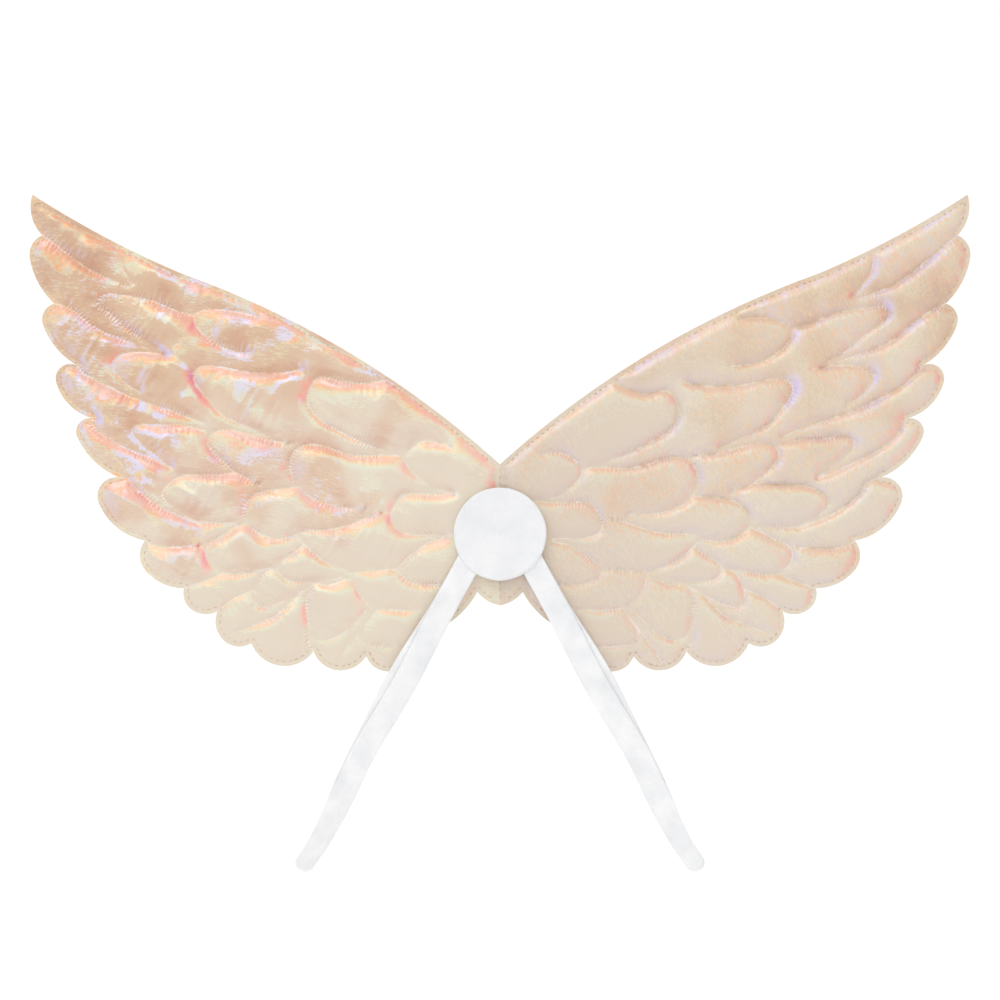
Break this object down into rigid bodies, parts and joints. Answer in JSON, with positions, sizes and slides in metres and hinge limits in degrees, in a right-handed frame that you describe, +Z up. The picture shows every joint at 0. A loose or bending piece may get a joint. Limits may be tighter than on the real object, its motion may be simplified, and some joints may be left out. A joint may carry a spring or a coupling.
{
  "type": "costume wings",
  "caption": "Pair of padded quilted wings with scalloped feather edges, joined at a centre seam, with a round felt back pad and elastic arm loops.",
  "frame": {"origin": "centre of the felt pad's outer face, which rests on the wearer's back", "axes": "+X along the wingspan, +Z up, -Y out of the felt pad towards the wearer"},
  "size_m": [0.473, 0.0216, 0.3416],
  "materials": {
    "iridescent_fabric": "iridescent cream satin that shifts to peach, pink, mint and lavender, embossed with feathers",
    "backing_fabric": "plain cream satin",
    "foam": "white polyester wadding",
    "thread": "beige sewing thread",
    "felt": "white pressed felt",
    "elastic": "white woven elastic band",
    "glue": "dried hot-melt glue"
  },
  "bodies": {
    "hub": {"left_inner_front_cover": "iridescent_fabric", "left_inner_foam": "foam", "left_inner_back_cover": "backing_fabric", "left_inner_edge_seam": "thread", "left_strap_end": "elastic", "left_bar_tacks": "thread", "right_inner_front_cover": "iridescent_fabric", "right_inner_foam": "foam", "right_inner_back_cover": "backing_fabric", "right_inner_edge_seam": "thread", "right_strap_end": "elastic", "right_bar_tacks": "thread", "centre_seam": "thread", "felt_pad": "felt", "pad_glue": "glue"},
    "left_wing": {"left_outer_front_cover": "iridescent_fabric", "left_outer_foam": "foam", "left_outer_back_cover": "backing_fabric", "left_outer_edge_seam": "thread"},
    "right_wing": {"right_outer_front_cover": "iridescent_fabric", "right_outer_foam": "foam", "right_outer_back_cover": "backing_fabric", "right_outer_edge_seam": "thread"},
    "left_strap": {"left_arm_loop": "elastic"},
    "right_strap": {"right_arm_loop": "elastic"}
  },
  "joints": [
    {"name": "left_wing_fold", "type": "hinge", "parent": "hub", "child": "left_wing", "pos_m": [-0.027, 0.0116, 0], "axis": [0, 0, -1], "range_deg": [0, 85], "stiffness_Nm_per_rad": 0.05},
    {"name": "left_strap_swing", "type": "hinge", "parent": "hub", "child": "left_strap", "pos_m": [-0.01872, 0.0016, -0.01958], "axis": [-0.8771, 0, 0.4802], "range_deg": [0, 90]},
    {"name": "right_wing_fold", "type": "hinge", "parent": "hub", "child": "right_wing", "pos_m": [0.027, 0.0116, 0], "axis": [0, 0, 1], "range_deg": [0, 85], "stiffness_Nm_per_rad": 0.05},
    {"name": "right_strap_swing", "type": "hinge", "parent": "hub", "child": "right_strap", "pos_m": [0.01872, 0.0016, -0.01958], "axis": [-0.8771, 0, -0.4802], "range_deg": [0, 90]}
  ]
}
